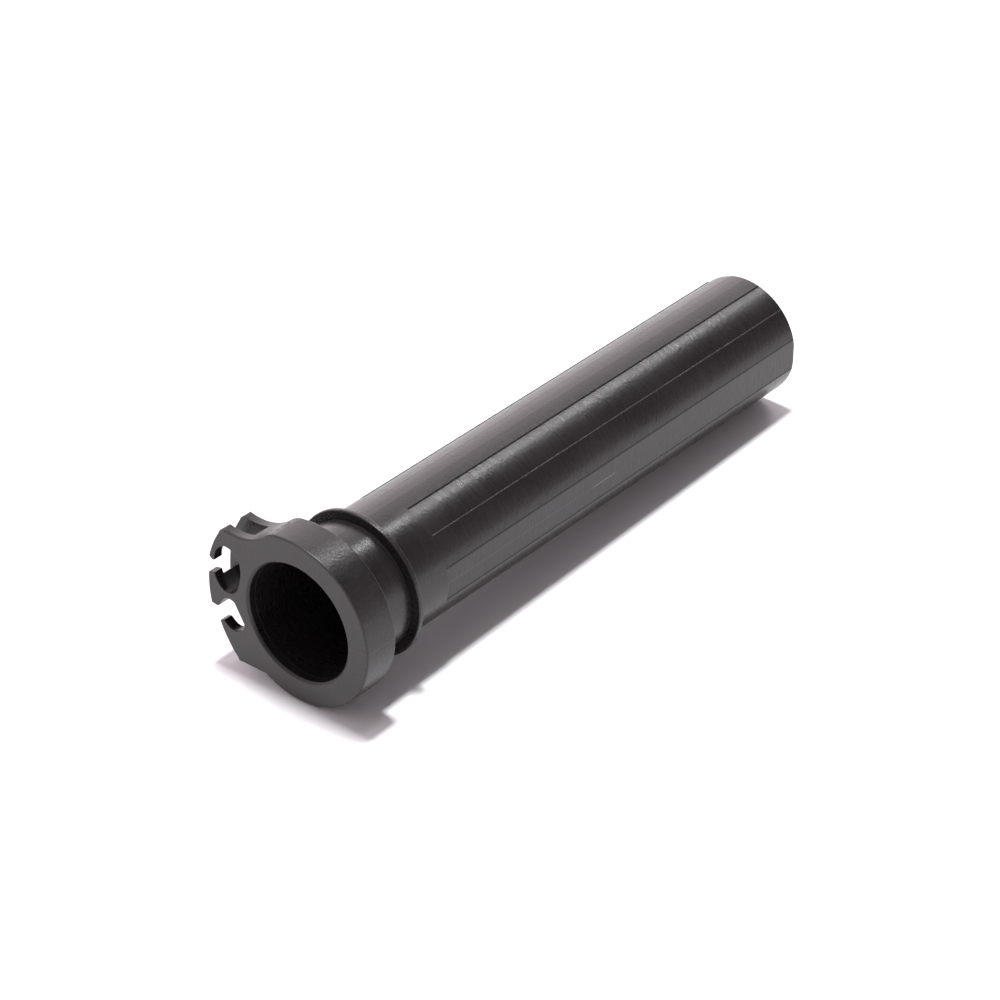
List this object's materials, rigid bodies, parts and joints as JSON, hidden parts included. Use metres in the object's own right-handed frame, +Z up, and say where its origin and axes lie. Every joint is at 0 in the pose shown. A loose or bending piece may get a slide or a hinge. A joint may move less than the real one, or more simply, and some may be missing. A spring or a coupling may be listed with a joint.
{
  "type": "throttle grip sleeve",
  "caption": "Bare plastic throttle sleeve for a one-inch handlebar: long tube with shallow strips, a collar flange and a cable drum with a forked lug for the cable ends.",
  "frame": {"origin": "On the bar axis, in the front face of the cable drum.", "axes": "+X runs along the bar axis from the cable drum to the open end. +Z is up as the sleeve lies. The cable lug is on the +Y side."},
  "size_m": [0.1461, 0.0414, 0.0366],
  "materials": {
    "drum_plastic": "satin moulded",
    "tube_plastic": "satin, fine texture",
    "flange_plastic": "satin moulded"
  },
  "bodies": {
    "root": {"cable_drum": "drum_plastic", "grip_tube": "tube_plastic", "flange_ring": "flange_plastic"}
  },
  "joints": []
}
